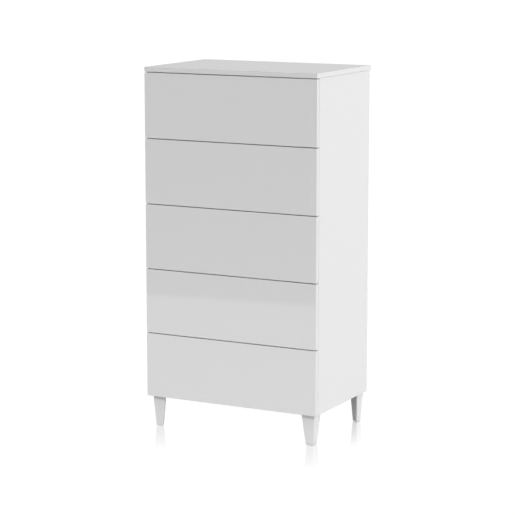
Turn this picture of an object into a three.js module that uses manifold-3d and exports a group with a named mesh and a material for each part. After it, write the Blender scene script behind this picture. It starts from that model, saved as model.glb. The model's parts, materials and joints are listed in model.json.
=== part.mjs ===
// Tall five-drawer chest in white board on four short tapered legs, with flush
// handleless fronts and full-extension ball-bearing slides.
//
// Millimetres, +Z up. The origin is at floor level under the middle of the chest;
// the fronts face -Y, and +X is to the right of a person who stands before them.
// Drawers are numbered from the top down.

import * as THREE from 'three';
import { mergeVertices } from 'three/addons/utils/BufferGeometryUtils.js';
import Module from 'manifold-3d';

const wasm = await Module();
wasm.setup();

// ---- Driving dimensions ----------------------------------------------------

const WIDTH = 600;
const DEPTH = 390;
const HEIGHT = 1152;
const LEG_HEIGHT = 100;
const DRAWER_COUNT = 5;

const BOARD = 16;            // side, floor and rail boards, and drawer fronts
const TOP_THICKNESS = 15;
const THIN_BOARD = 3;        // back panel and drawer bottoms
const BOX_BOARD = 12;        // sides and back of a drawer box
const FIT_GAP = 0.3;         // left between pieces that touch

const FRONT_GAP = 2.5;       // between neighbouring fronts, and under the top
const FRONT_SIDE_REVEAL = 0.5;
const FRONT_SEAT_GAP = 0.4;  // closed front to the edges of the side panels
const TOP_REAR_OVERHANG = 12; // lets the top meet a wall above a skirting board

const BACK_REBATE_WIDTH = 8;
const RAIL_DEPTH = 80;

const SLIDE_LENGTH = 350;
const SLIDE_SPACE = 13;      // between a side panel and a drawer box
const SLIDE_STEEL = 1.2;
const SLIDE_CORNER = 2.2;
const SLIDE_FRONT_SETBACK = 2;
const MIDDLE_MEMBER_LENGTH = 340;

const BOX_LENGTH = 352;
const BOX_HEIGHT = 150;
const BOX_RISE = 24;         // lower edge of a box above the lower edge of its front
const SLIDE_RISE = 48;       // slide centre above the lower edge of the box
const BOTTOM_RISE = 10;      // groove for the drawer bottom above the box's edge
const GROOVE_DEPTH = 6;

const LEG_TOP_WIDTH = 45;
const LEG_FOOT_WIDTH = 25;
const LEG_EDGE_FLAT = 4;
const LEG_SIDE_INSET = 12.5;
const LEG_SIDE_TAPER = 7;
const LEG_FRONT_INSET = 18;
const LEG_FRONT_TAPER = 5.5;
const LEG_REAR_INSET = 11.5;
const LEG_REAR_TAPER = 5;

const GLIDE_RADIUS = 6;
const GLIDE_THICKNESS = 3;
const GLIDE_PROUD = 1;
const GLIDE_BEVEL = 0.6;
const GLIDE_INSET = 8.7;     // glide centre from both outer faces of the leg's foot
const GLIDE_SEGMENTS = 28;

const CORNER_SEGMENTS = 4;
const CUT_OVERRUN = 1;       // how far a cutting block passes an open face
const SAME_POINT = 1e-4;     // vertices closer than this are one vertex

// ---- Sizes worked out from them --------------------------------------------

const HALF_WIDTH = WIDTH / 2;
const FRONT_FACE = -DEPTH / 2;
const REAR_FACE = DEPTH / 2;
const INSIDE_HALF = HALF_WIDTH - BOARD;

const TOP_UNDERSIDE = HEIGHT - TOP_THICKNESS;
const CARCASS_TOP = TOP_UNDERSIDE - FIT_GAP;
const CARCASS_FRONT = FRONT_FACE + BOARD + FRONT_SEAT_GAP;
const CARCASS_REAR = REAR_FACE - TOP_REAR_OVERHANG;
const REBATE_FACE = CARCASS_REAR - THIN_BOARD - FIT_GAP;

const DRAWER_PITCH = (TOP_UNDERSIDE - LEG_HEIGHT) / DRAWER_COUNT;
const FRONT_HEIGHT = DRAWER_PITCH - FRONT_GAP;
const FRONT_HALF_WIDTH = HALF_WIDTH - FRONT_SIDE_REVEAL;
const FRONT_REAR_FACE = FRONT_FACE + BOARD;

const BOX_HALF_WIDTH = INSIDE_HALF - SLIDE_SPACE;
const BOX_INSIDE_HALF = BOX_HALF_WIDTH - BOX_BOARD;
const BOX_FRONT_EDGE = FRONT_REAR_FACE + FIT_GAP;
const BOX_REAR_FACE = BOX_FRONT_EDGE + BOX_LENGTH;
const BOX_BACK_INSIDE = BOX_REAR_FACE - BOX_BOARD;
const GROOVE_HALF_WIDTH = BOX_INSIDE_HALF + GROOVE_DEPTH;
const GROOVE_HEIGHT = THIN_BOARD + 2 * FIT_GAP;

// Slide members nest inside each other. Each is a channel: its web stands at a
// distance from the side panel, and its flanges reach to a second distance.
const CABINET_MEMBER = { web: 0.2, tip: 10.2, halfHeight: 22.5, lip: 1.9 };
const MIDDLE_MEMBER = { web: 2.6, tip: 10.8, halfHeight: 18.4, lip: 0 };
const DRAWER_MEMBER = { web: 12.8, tip: 4.8, halfHeight: 14.3, lip: 0 };

// ---- Materials -------------------------------------------------------------

function paint(color, roughness, metalness) {
  return () => new THREE.MeshStandardMaterial({ color, roughness, metalness });
}

const glossWhite = paint(0xf4f4f3, 0.12, 0);
const mattWhite = paint(0xeeeeec, 0.55, 0);
const thinBoardWhite = paint(0xe6e6e3, 0.7, 0);
const zincSteel = paint(0xb9bcbf, 0.35, 1);
const glideNylon = paint(0xd9d9d6, 0.5, 0);

// ---- Helpers ---------------------------------------------------------------

const chest = new THREE.Group();

function addPiece(name, geometry, material) {
  const mesh = new THREE.Mesh(geometry, material());
  mesh.name = name;
  chest.add(mesh);
  return mesh;
}

function blockGeometry(x, y, z) {
  const geometry = new THREE.BoxGeometry(x[1] - x[0], y[1] - y[0], z[1] - z[0]);
  geometry.translate((x[0] + x[1]) / 2, (y[0] + y[1]) / 2, (z[0] + z[1]) / 2);
  return geometry;
}

function addBoard(name, x, y, z, material) {
  return addPiece(name, blockGeometry(x, y, z), material);
}

// Leaves out a point that repeats the one before it.
function polygonShape(points) {
  const distinct = points.filter(([x, y], i) => {
    const [beforeX, beforeY] = points[(i + points.length - 1) % points.length];
    return Math.hypot(x - beforeX, y - beforeY) > SAME_POINT;
  });
  return new THREE.Shape(distinct.map(([x, y]) => new THREE.Vector2(x, y)));
}

// Extrudes a plan outline upwards.
function extrudeUp(shape, z) {
  const geometry = new THREE.ExtrudeGeometry(shape, {
    depth: z[1] - z[0],
    bevelEnabled: false,
  });
  geometry.translate(0, 0, z[0]);
  return geometry;
}

// Extrudes an outline drawn in X and Z along the chest's depth.
function extrudeAlongDepth(shape, y) {
  const geometry = new THREE.ExtrudeGeometry(shape, {
    depth: y[1] - y[0],
    bevelEnabled: false,
  });
  geometry.rotateX(Math.PI / 2);
  geometry.translate(0, y[1], 0);
  return geometry;
}

function toSolid(geometry) {
  const bare = geometry.index ? geometry.toNonIndexed() : geometry.clone();
  bare.deleteAttribute('normal');
  bare.deleteAttribute('uv');
  const merged = mergeVertices(bare, SAME_POINT);
  return new wasm.Manifold(new wasm.Mesh({
    numProp: 3,
    vertProperties: new Float32Array(merged.attributes.position.array),
    triVerts: new Uint32Array(merged.index.array),
  }));
}

function cutAway(geometry, ...tools) {
  let solid = toSolid(geometry);
  for (const tool of tools) {
    solid = solid.subtract(toSolid(tool));
  }
  const result = solid.getMesh();
  const cut = new THREE.BufferGeometry();
  cut.setAttribute('position', new THREE.BufferAttribute(new Float32Array(result.vertProperties), 3));
  cut.setIndex(new THREE.BufferAttribute(new Uint32Array(result.triVerts), 1));
  cut.computeVertexNormals();
  return cut;
}

const sides = [
  { name: 'left', sign: -1 },
  { name: 'right', sign: 1 },
];

// ---- Carcass ---------------------------------------------------------------

function addTopPanel() {
  const across = [-HALF_WIDTH, HALF_WIDTH];
  addBoard('top_panel', across, [FRONT_FACE, REAR_FACE], [TOP_UNDERSIDE, HEIGHT], glossWhite);
}

// A side panel has a rebate along its rear inner edge that holds the back panel.
function addSidePanel(side) {
  const outline = [
    [HALF_WIDTH, CARCASS_FRONT],
    [HALF_WIDTH, CARCASS_REAR],
    [INSIDE_HALF + BACK_REBATE_WIDTH, CARCASS_REAR],
    [INSIDE_HALF + BACK_REBATE_WIDTH, REBATE_FACE],
    [INSIDE_HALF, REBATE_FACE],
    [INSIDE_HALF, CARCASS_FRONT],
  ];
  const shape = polygonShape(outline.map(([x, y]) => [side.sign * x, y]));
  addPiece(`side_panel_${side.name}`, extrudeUp(shape, [LEG_HEIGHT, CARCASS_TOP]), glossWhite);
}

function addCrossBoards() {
  const between = INSIDE_HALF - FIT_GAP;
  const across = [-between, between];
  const railHeights = [CARCASS_TOP - BOARD, CARCASS_TOP];
  const floorHeights = [LEG_HEIGHT, LEG_HEIGHT + BOARD];
  addBoard('bottom_panel', across, [CARCASS_FRONT, REBATE_FACE], floorHeights, mattWhite);
  addBoard('top_rail_front', across, [CARCASS_FRONT, CARCASS_FRONT + RAIL_DEPTH], railHeights, mattWhite);
  addBoard('top_rail_rear', across, [REBATE_FACE - RAIL_DEPTH, REBATE_FACE], railHeights, mattWhite);
}

function addBackPanel() {
  const halfWidth = INSIDE_HALF + BACK_REBATE_WIDTH - FIT_GAP;
  addBoard('back_panel', [-halfWidth, halfWidth], [CARCASS_REAR - THIN_BOARD, CARCASS_REAR],
    [LEG_HEIGHT, CARCASS_TOP], thinBoardWhite);
}

// ---- Legs ------------------------------------------------------------------

// A leg is a corner block: two flat outer faces, a diagonal inner face and a
// narrow flat at each end of it. It tapers towards the foot.
function legGeometry(signX, signY, cornerY, taperY) {
  const height = [GLIDE_PROUD, LEG_HEIGHT - FIT_GAP];
  const cornerX = HALF_WIDTH - LEG_SIDE_INSET;
  const outline = [
    [0, 0],
    [LEG_TOP_WIDTH, 0],
    [LEG_TOP_WIDTH, LEG_EDGE_FLAT],
    [LEG_EDGE_FLAT, LEG_TOP_WIDTH],
    [0, LEG_TOP_WIDTH],
  ];
  const geometry = extrudeUp(polygonShape(outline), height);
  const position = geometry.attributes.position;
  for (let i = 0; i < position.count; i += 1) {
    const towardsFoot = (height[1] - position.getZ(i)) / (height[1] - height[0]);
    const narrowing = towardsFoot * (LEG_TOP_WIDTH - LEG_FOOT_WIDTH);
    const narrowed = (reach) => (reach > LEG_EDGE_FLAT ? reach - narrowing : reach);
    const inwardX = narrowed(position.getX(i)) + towardsFoot * LEG_SIDE_TAPER;
    const inwardY = narrowed(position.getY(i)) + towardsFoot * taperY;
    position.setXY(i, signX * (cornerX - inwardX), cornerY - signY * inwardY);
  }
  return signX * signY < 0 ? flipFaces(geometry) : geometry;
}

// Turns every triangle over, so that a mirrored copy faces outwards again.
function flipFaces(geometry) {
  const position = geometry.attributes.position;
  for (let i = 0; i < position.count; i += 3) {
    const second = [position.getX(i + 1), position.getY(i + 1), position.getZ(i + 1)];
    position.setXYZ(i + 1, position.getX(i + 2), position.getY(i + 2), position.getZ(i + 2));
    position.setXYZ(i + 2, ...second);
  }
  return geometry;
}

// An upright disc whose lower rim is bevelled.
function discGeometry(x, y, z, radius, bevel) {
  const profile = [
    new THREE.Vector2(0, z[0]),
    new THREE.Vector2(radius - bevel, z[0]),
    new THREE.Vector2(radius, z[0] + bevel),
    new THREE.Vector2(radius, z[1]),
    new THREE.Vector2(0, z[1]),
  ];
  const geometry = new THREE.LatheGeometry(profile, GLIDE_SEGMENTS);
  geometry.rotateX(Math.PI / 2);
  geometry.translate(x, y, 0);
  return geometry;
}

// Each leg has a round recess in its foot that holds the glide.
function addLegs() {
  const ends = [
    { name: 'front', sign: -1, cornerY: FRONT_FACE + LEG_FRONT_INSET, taper: LEG_FRONT_TAPER },
    { name: 'rear', sign: 1, cornerY: REAR_FACE - LEG_REAR_INSET, taper: LEG_REAR_TAPER },
  ];
  for (const end of ends) {
    for (const side of sides) {
      const footX = side.sign * (HALF_WIDTH - LEG_SIDE_INSET - LEG_SIDE_TAPER - GLIDE_INSET);
      const footY = end.cornerY - end.sign * (end.taper + GLIDE_INSET);
      const recessHeights = [0, GLIDE_THICKNESS + FIT_GAP];
      const recess = discGeometry(footX, footY, recessHeights, GLIDE_RADIUS + FIT_GAP, GLIDE_BEVEL);
      const block = legGeometry(side.sign, end.sign, end.cornerY, end.taper);
      addPiece(`leg_${end.name}_${side.name}`, cutAway(block, recess), glossWhite);
      const glide = discGeometry(footX, footY, [0, GLIDE_THICKNESS], GLIDE_RADIUS, GLIDE_BEVEL);
      addPiece(`foot_glide_${end.name}_${side.name}`, glide, glideNylon);
    }
  }
}

// ---- Slides ----------------------------------------------------------------

// Section of one slide member in X and Z: a channel with rounded outer corners.
// Where the member has a lip, the tips of its flanges turn inwards.
function channelShape(member, sign, centreZ) {
  const reach = member.tip - member.web;
  const flange = Math.abs(reach);
  const inner = member.halfHeight - SLIDE_STEEL;
  const innerTip = flange - (member.lip > 0 ? SLIDE_STEEL : 0);
  const half = [
    [SLIDE_STEEL, inner],
    [innerTip, inner],
    [innerTip, inner - member.lip],
    [flange, inner - member.lip],
    [flange, member.halfHeight],
  ];
  for (let i = 0; i <= CORNER_SEGMENTS; i += 1) {
    const turn = (i / CORNER_SEGMENTS) * (Math.PI / 2);
    half.push([
      SLIDE_CORNER * (1 - Math.sin(turn)),
      member.halfHeight - SLIDE_CORNER * (1 - Math.cos(turn)),
    ]);
  }
  const mirrored = half.map(([fromWeb, height]) => [fromWeb, -height]).reverse();
  const outline = [...half, ...mirrored].map(([fromWeb, height]) => [
    sign * (INSIDE_HALF - member.web - Math.sign(reach) * fromWeb),
    centreZ + height,
  ]);
  return polygonShape(outline);
}

function addSlides(number, centreZ) {
  const cabinetFront = CARCASS_FRONT + SLIDE_FRONT_SETBACK;
  const cabinetRange = [cabinetFront, cabinetFront + SLIDE_LENGTH];
  const middleFront = cabinetFront + (SLIDE_LENGTH - MIDDLE_MEMBER_LENGTH) / 2;
  const middleRange = [middleFront, middleFront + MIDDLE_MEMBER_LENGTH];
  const drawerFront = BOX_FRONT_EDGE + FIT_GAP;
  const drawerRange = [drawerFront, drawerFront + SLIDE_LENGTH];
  for (const side of sides) {
    const addMember = (kind, member, range) => {
      const shape = channelShape(member, side.sign, centreZ);
      addPiece(`slide_${kind}_${side.name}_${number}`, extrudeAlongDepth(shape, range), zincSteel);
    };
    addMember('cabinet', CABINET_MEMBER, cabinetRange);
    addMember('middle', MIDDLE_MEMBER, middleRange);
    addMember('drawer', DRAWER_MEMBER, drawerRange);
  }
}

// ---- Drawers ---------------------------------------------------------------

// The box is one board folded into two sides and a back, open to the front and
// grooved inside for the bottom.
function boxWrapGeometry(lowerEdge, grooveZ) {
  const outline = [
    [-BOX_HALF_WIDTH, BOX_FRONT_EDGE],
    [-BOX_INSIDE_HALF, BOX_FRONT_EDGE],
    [-BOX_INSIDE_HALF, BOX_BACK_INSIDE],
    [BOX_INSIDE_HALF, BOX_BACK_INSIDE],
    [BOX_INSIDE_HALF, BOX_FRONT_EDGE],
    [BOX_HALF_WIDTH, BOX_FRONT_EDGE],
    [BOX_HALF_WIDTH, BOX_REAR_FACE],
    [-BOX_HALF_WIDTH, BOX_REAR_FACE],
  ];
  const walls = extrudeUp(polygonShape(outline), [lowerEdge, lowerEdge + BOX_HEIGHT]);
  const groove = blockGeometry(
    [-GROOVE_HALF_WIDTH, GROOVE_HALF_WIDTH],
    [BOX_FRONT_EDGE - CUT_OVERRUN, BOX_BACK_INSIDE + GROOVE_DEPTH],
    grooveZ,
  );
  return cutAway(walls, groove);
}

// The front is a plain slab with a stopped groove in its rear face.
function frontGeometry(lowerEdge, grooveZ) {
  const slab = blockGeometry(
    [-FRONT_HALF_WIDTH, FRONT_HALF_WIDTH],
    [FRONT_FACE, FRONT_REAR_FACE],
    [lowerEdge, lowerEdge + FRONT_HEIGHT],
  );
  const groove = blockGeometry(
    [-GROOVE_HALF_WIDTH, GROOVE_HALF_WIDTH],
    [FRONT_REAR_FACE - GROOVE_DEPTH, FRONT_REAR_FACE + CUT_OVERRUN],
    grooveZ,
  );
  return cutAway(slab, groove);
}

function addDrawer(number) {
  const frontEdge = LEG_HEIGHT + (DRAWER_COUNT - number) * DRAWER_PITCH;
  const boxEdge = frontEdge + BOX_RISE;
  const grooveStart = boxEdge + BOTTOM_RISE;
  const grooveZ = [grooveStart, grooveStart + GROOVE_HEIGHT];
  addPiece(`drawer_front_${number}`, frontGeometry(frontEdge, grooveZ), glossWhite);
  addPiece(`drawer_wrap_${number}`, boxWrapGeometry(boxEdge, grooveZ), mattWhite);
  const bottomHalfWidth = GROOVE_HALF_WIDTH - FIT_GAP;
  addBoard(
    `drawer_bottom_${number}`,
    [-bottomHalfWidth, bottomHalfWidth],
    [FRONT_REAR_FACE - GROOVE_DEPTH + FIT_GAP, BOX_BACK_INSIDE + GROOVE_DEPTH - FIT_GAP],
    [grooveZ[0] + FIT_GAP, grooveZ[1] - FIT_GAP],
    thinBoardWhite,
  );
  addSlides(number, boxEdge + SLIDE_RISE);
}

// ---- Assembly --------------------------------------------------------------

addTopPanel();
sides.forEach(addSidePanel);
addCrossBoards();
addBackPanel();
addLegs();
for (let number = 1; number <= DRAWER_COUNT; number += 1) {
  addDrawer(number);
}

export default chest;
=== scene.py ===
"""Finishes and fittings for a tall chest of drawers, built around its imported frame."""

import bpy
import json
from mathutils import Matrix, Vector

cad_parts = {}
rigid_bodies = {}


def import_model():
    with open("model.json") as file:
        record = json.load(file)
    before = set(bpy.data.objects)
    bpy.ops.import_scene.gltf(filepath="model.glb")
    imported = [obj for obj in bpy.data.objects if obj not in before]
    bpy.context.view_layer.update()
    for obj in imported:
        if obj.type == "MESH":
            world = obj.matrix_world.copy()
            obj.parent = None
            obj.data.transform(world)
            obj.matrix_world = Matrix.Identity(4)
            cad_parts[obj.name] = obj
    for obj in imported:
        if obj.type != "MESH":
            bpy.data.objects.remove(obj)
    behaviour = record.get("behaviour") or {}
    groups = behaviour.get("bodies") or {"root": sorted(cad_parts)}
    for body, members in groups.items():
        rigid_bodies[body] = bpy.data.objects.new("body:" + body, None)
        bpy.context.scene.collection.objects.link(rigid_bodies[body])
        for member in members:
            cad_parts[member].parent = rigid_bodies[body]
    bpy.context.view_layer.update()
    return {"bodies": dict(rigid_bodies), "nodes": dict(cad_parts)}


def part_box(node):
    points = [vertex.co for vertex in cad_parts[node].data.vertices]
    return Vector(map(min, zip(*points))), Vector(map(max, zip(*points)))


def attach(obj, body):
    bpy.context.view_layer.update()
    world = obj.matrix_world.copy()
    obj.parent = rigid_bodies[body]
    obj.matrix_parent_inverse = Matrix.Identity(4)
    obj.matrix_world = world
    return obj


bl_info = {
    "name": "Tall Chest of Drawers",
    "version": (1, 0, 0),
    "blender": (4, 5, 0),
    "location": "3D View > Sidebar > Chest",
    "description": "Gives a handleless chest its gloss boards, slides, fixings and studio",
    "category": "Object",
}

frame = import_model()

import json
import math

import bmesh
import bpy
from bpy.props import FloatProperty, FloatVectorProperty, PointerProperty
from mathutils import Matrix, Vector

MM = 0.001
SIDES = (("left", -1), ("right", 1))
DRAWERS = [name.rsplit("_", 1)[1] for name in sorted(frame["bodies"]) if name.startswith("drawer_")]
SLIDES = [(number, side, sign) for number in DRAWERS for side, sign in SIDES]
SHEET_STEEL = 1.2 * MM
WHITE = (1, 1, 1, 1)
ALONG_STRIP = (900.0, 6.0, 900.0)
TURNED = (500.0, 500.0, 500.0)


# ---- Settings ----


def colour_setting(name, description, default):
    return FloatVectorProperty(
        name=name, description=description, default=default,
        subtype="COLOR", size=3, min=0, max=1,
    )


def length_setting(name, description, default, smallest=0.0):
    return FloatProperty(
        name=name, description=description, default=default,
        unit="LENGTH", subtype="DISTANCE", min=smallest,
    )


def angle_setting(name, description, degrees):
    return FloatProperty(
        name=name, description=description, default=math.radians(degrees), unit="ROTATION", subtype="ANGLE",
    )


def amount_setting(name, description, default):
    return FloatProperty(name=name, description=description, default=default, min=0)


class ChestFinishes(bpy.types.PropertyGroup):
    """Colours and surface qualities of the boards, the steel and the plastics"""

    foil_colour: colour_setting(
        "Gloss foil", "Colour of the fronts, top, sides and legs", (0.86, 0.86, 0.86)
    )
    foil_roughness: FloatProperty(
        name="Foil roughness", description="0 is a perfect mirror finish",
        subtype="FACTOR", min=0, max=1, default=0.03,
    )
    melamine_colour: colour_setting(
        "Melamine", "Colour of the hidden boards and the drawer boxes", (0.76, 0.76, 0.75)
    )
    lacquer_colour: colour_setting(
        "Hardboard lacquer", "Inner face of the back and the drawer bottoms", (0.74, 0.74, 0.73)
    )
    fibre_colour: colour_setting(
        "Raw hardboard", "Outer face of the back and the drawer bottoms", (0.36, 0.235, 0.135)
    )
    zinc_colour: colour_setting("Zinc plating", "Colour of the slides and the fixings", (0.62, 0.64, 0.66))
    nylon_colour: colour_setting("Nylon", "Colour of the foot glides", (0.62, 0.62, 0.60))
    dark_plastic_colour: colour_setting(
        "Dark plastic", "Colour of ball cages, bumpers and release levers", (0.025, 0.025, 0.027)
    )
    latch_colour: colour_setting("Latch plastic", "Colour of the push latches", (0.32, 0.33, 0.34))
    edge_radius: length_setting("Board edge radius", "Rounding of every board edge", 0.5 * MM)


class ChestFittings(bpy.types.PropertyGroup):
    """Sizes of the screws, cams, nails and balls"""

    screw_diameter: length_setting("Screw head", "Diameter of the slide screws' heads", 7.0 * MM)
    carcass_cam_diameter: length_setting(
        "Carcass cam", "Diameter of the cam locks in the carcass", 15.0 * MM
    )
    box_cam_diameter: length_setting("Box cam", "Diameter of the cam locks in the drawer boxes", 12.0 * MM)
    nail_diameter: length_setting("Nail head", "Diameter of the nails in the back panel", 5.0 * MM)
    nail_spacing: length_setting("Nail spacing", "Largest distance between two nails", 110.0 * MM, 20 * MM)
    ball_diameter: length_setting("Ball", "Diameter of the balls in the slides", 2.6 * MM)
    ball_spacing: length_setting("Ball spacing", "Distance between two balls in a cage", 14.0 * MM, 4 * MM)


class ChestStudio(bpy.types.PropertyGroup):
    """Camera, floor and light"""

    camera_azimuth: angle_setting("Camera azimuth", "How far the camera stands round to the right", 27.577)
    camera_pitch: angle_setting("Camera pitch", "How far the camera looks down", 9.731)
    camera_position: FloatVectorProperty(
        name="Camera position", description="Place of the lens",
        unit="LENGTH", subtype="TRANSLATION", size=3, default=(2.8586, -5.4790, 1.6024),
    )
    camera_lens: amount_setting("Focal length", "In millimetres, on a sensor 36 mm wide", 137.47)
    dome_strength: amount_setting("Dome", "Strength of the soft light from all round", 1.415)
    dome_slant: FloatVectorProperty(
        name="Dome slant", description="How much brighter the dome is towards +X, +Y and +Z",
        subtype="XYZ", size=3, default=(0.715, -0.41, -1.0),
    )
    floor_glow: amount_setting("Floor glow", "Light that keeps the floor near white", 0.93)
    mirrored_floor_glow: amount_setting(
        "Mirrored floor glow", "Brightness of the floor as the gloss boards mirror it", 0.88
    )


# ---- Small tools for node trees ----


def empty_tree(owner):
    """The node tree of a material or a world, without the nodes it starts with."""
    owner.use_nodes = True
    owner.node_tree.nodes.clear()
    return owner.node_tree


def give(tree, socket, value):
    """Sets a socket to a value, or links it from another socket."""
    if isinstance(value, bpy.types.NodeSocket):
        tree.links.new(value, socket)
    else:
        socket.default_value = value


def add_node(tree, kind, inputs=None, **settings):
    """Adds a node. An input is given a value, or a socket to link from."""
    node = tree.nodes.new(kind)
    for name, value in settings.items():
        setattr(node, name, value)
    for name, value in (inputs or {}).items():
        give(tree, node.inputs[name], value)
    return node


def math_node(tree, operation, first, second=0.0, clamp=False):
    node = add_node(tree, "ShaderNodeMath", {0: first, 1: second}, operation=operation, use_clamp=clamp)
    return node.outputs[0]


def plus(tree, first, second):
    return math_node(tree, "ADD", first, second)


def times(tree, first, second):
    return math_node(tree, "MULTIPLY", first, second)


def vector_math(tree, operation, first, second=None):
    """A dot product or a length gives a value, every other operation a vector."""
    inputs = {0: first} if second is None else {0: first, 1: second}
    node = add_node(tree, "ShaderNodeVectorMath", inputs, operation=operation)
    return node.outputs["Value" if operation in ("DOT_PRODUCT", "LENGTH") else "Vector"]


def ramp(tree, value, start, end, low=0.0, high=1.0):
    """Maps a value from start..end to low..high, smoothly and clamped."""
    inputs = {"Value": value, "From Min": start, "From Max": end, "To Min": low, "To Max": high}
    return add_node(tree, "ShaderNodeMapRange", inputs, interpolation_type="SMOOTHSTEP").outputs["Result"]


def mix_colour(tree, factor, first, second):
    """Mixes two colours. Sockets 0, 6 and 7 are the factor and the colours of a colour mix."""
    inputs = {0: factor, 6: first, 7: second}
    return add_node(tree, "ShaderNodeMix", data_type="RGBA", inputs=inputs).outputs[2]


def mix_shaders(tree, factor, first, second):
    return add_node(tree, "ShaderNodeMixShader", {0: factor, 1: first.outputs[0], 2: second.outputs[0]})


def noise(tree, place, scale, detail, roughness=0.5, distortion=0.0):
    return add_node(tree, "ShaderNodeTexNoise", {
        "Vector": place, "Scale": scale, "Detail": detail, "Roughness": roughness, "Distortion": distortion,
    }).outputs["Fac"]


def surface(tree, quality):
    """The position or the normal of the surface, and where it faces."""
    return add_node(tree, "ShaderNodeNewGeometry").outputs[quality]


def on_object(tree):
    return add_node(tree, "ShaderNodeTexCoord").outputs["Object"]


def along_axis(tree, vector, axis):
    return add_node(tree, "ShaderNodeSeparateXYZ", {0: vector}).outputs[axis]


def rgba(colour, shade=1.0):
    return (*(channel * shade for channel in colour), 1.0)


def new_group(name, inputs, outputs):
    """A shader node group. Its inputs are named with their values; its outputs are numbers."""
    tree = bpy.data.node_groups.new(name, "ShaderNodeTree")
    for socket_name, default in inputs.items():
        kind = "NodeSocketVector" if isinstance(default, tuple) else "NodeSocketFloat"
        tree.interface.new_socket(socket_name, in_out="INPUT", socket_type=kind).default_value = default
    for socket_name in outputs:
        tree.interface.new_socket(socket_name, in_out="OUTPUT", socket_type="NodeSocketFloat")
    given = tree.nodes.new("NodeGroupInput").outputs
    result = tree.nodes.new("NodeGroupOutput").inputs
    return tree, given, result


def place_group(tree, name, **inputs):
    """Places a node group in a material and sets its inputs by name."""
    node = add_node(tree, "ShaderNodeGroup", node_tree=bpy.data.node_groups[name])
    for key, value in inputs.items():
        give(tree, node.inputs[key.replace("_", " ").title()], value)
    return node.outputs


# ---- Effects shared by the materials ----


def make_edge_distance():
    """Distance in metres from a point on a board's face to that face's nearest edge."""
    tree, given, result = new_group("Edge Distance", {"Size": (1, 1, 1)}, ["Distance"])
    place = add_node(tree, "ShaderNodeTexCoord").outputs["Generated"]
    near = vector_math(tree, "MULTIPLY", place, given["Size"])
    far = vector_math(tree, "SUBTRACT", given["Size"], near)
    margins = vector_math(tree, "MINIMUM", near, far)
    split = add_node(tree, "ShaderNodeSeparateXYZ", {0: margins}).outputs
    smaller = math_node(tree, "MINIMUM", split["X"], split["Y"])
    larger = math_node(tree, "MAXIMUM", split["X"], split["Y"])
    second = math_node(tree, "MAXIMUM", smaller, math_node(tree, "MINIMUM", larger, split["Z"]))
    give(tree, result["Distance"], second)


def make_edge_line():
    """Mask of the hairline joint between a board's face and its edge band."""
    sizes = {"Distance": 0.0, "Band": 1.0 * MM, "Width": 0.2 * MM}
    tree, given, result = new_group("Edge Band Joint", sizes, ["Line"])
    off = math_node(tree, "ABSOLUTE", math_node(tree, "SUBTRACT", given["Distance"], given["Band"]))
    share = math_node(tree, "DIVIDE", off, given["Width"], clamp=True)
    give(tree, result["Line"], math_node(tree, "SUBTRACT", 1.0, share))


def make_handling_marks():
    """Soft patches where hands and cloths have dulled a surface."""
    tree, given, result = new_group("Handling Marks", {"Scale": 6.0, "Amount": 1.0}, ["Mask"])
    place = on_object(tree)
    patches = ramp(tree, noise(tree, place, given["Scale"], 5.0, 0.62, 0.6), 0.42, 0.72)
    streak_place = vector_math(tree, "MULTIPLY", place, (9.0, 9.0, 60.0))
    streaks = noise(tree, streak_place, 2.2, 3.0)
    wiped = times(tree, patches, ramp(tree, streaks, 0.35, 0.7, 0.45, 1.0))
    give(tree, result["Mask"], times(tree, wiped, given["Amount"]))


def make_foil_ripple():
    """Height of the faint orange peel of foil pressed on fibreboard."""
    tree, given, result = new_group("Foil Ripple", {"Scale": 90.0}, ["Height"])
    place = on_object(tree)
    fine = noise(tree, place, given["Scale"], 1.0, 0.4)
    wide = noise(tree, place, times(tree, given["Scale"], 0.12), 1.0)
    give(tree, result["Height"], plus(tree, times(tree, fine, 0.35), wide))


def make_settled_dust():
    """Dust that settles on faces that look up."""
    tree, given, result = new_group("Settled Dust", {"Amount": 1.0}, ["Mask"])
    place = on_object(tree)
    specks = ramp(tree, noise(tree, place, 420.0, 2.0), 0.55, 0.72)
    drift = ramp(tree, noise(tree, place, 7.0, 4.0), 0.35, 0.75)
    upward = ramp(tree, along_axis(tree, surface(tree, "Normal"), "Z"), 0.6, 0.95)
    settled = times(tree, times(tree, specks, drift), upward)
    give(tree, result["Mask"], times(tree, settled, given["Amount"]))


def make_paper_grain():
    """Fine pores and faint cloudiness of a matt decor paper."""
    tree, given, result = new_group("Paper Grain", {"Scale": 900.0}, ["Height", "Tone"])
    place = on_object(tree)
    give(tree, result["Height"], noise(tree, place, given["Scale"], 2.0, 0.6))
    give(tree, result["Tone"], ramp(tree, noise(tree, place, 11.0, 5.0), 0.3, 0.7))


def make_pressed_fibre():
    """Fibres and screen marks of raw hardboard."""
    tree, given, result = new_group("Pressed Fibre", {"Scale": 260.0}, ["Height", "Tone"])
    place = on_object(tree)
    stretched = vector_math(tree, "MULTIPLY", place, (1.0, 1.0, 0.35))
    long_fibres = noise(tree, stretched, given["Scale"], 6.0, 0.7, 1.5)
    flecks = add_node(tree, "ShaderNodeTexVoronoi", {"Vector": place, "Scale": 340.0}).outputs["Distance"]
    clouds = ramp(tree, noise(tree, place, 14.0, 4.0), 0.2, 0.8, 0.5, 1.0)
    tone = times(tree, ramp(tree, long_fibres, 0.3, 0.7), clouds)
    tone = times(tree, tone, ramp(tree, flecks, 0.0, 0.35, 0.6, 1.0))
    give(tree, result["Height"], long_fibres)
    give(tree, result["Tone"], tone)


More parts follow.
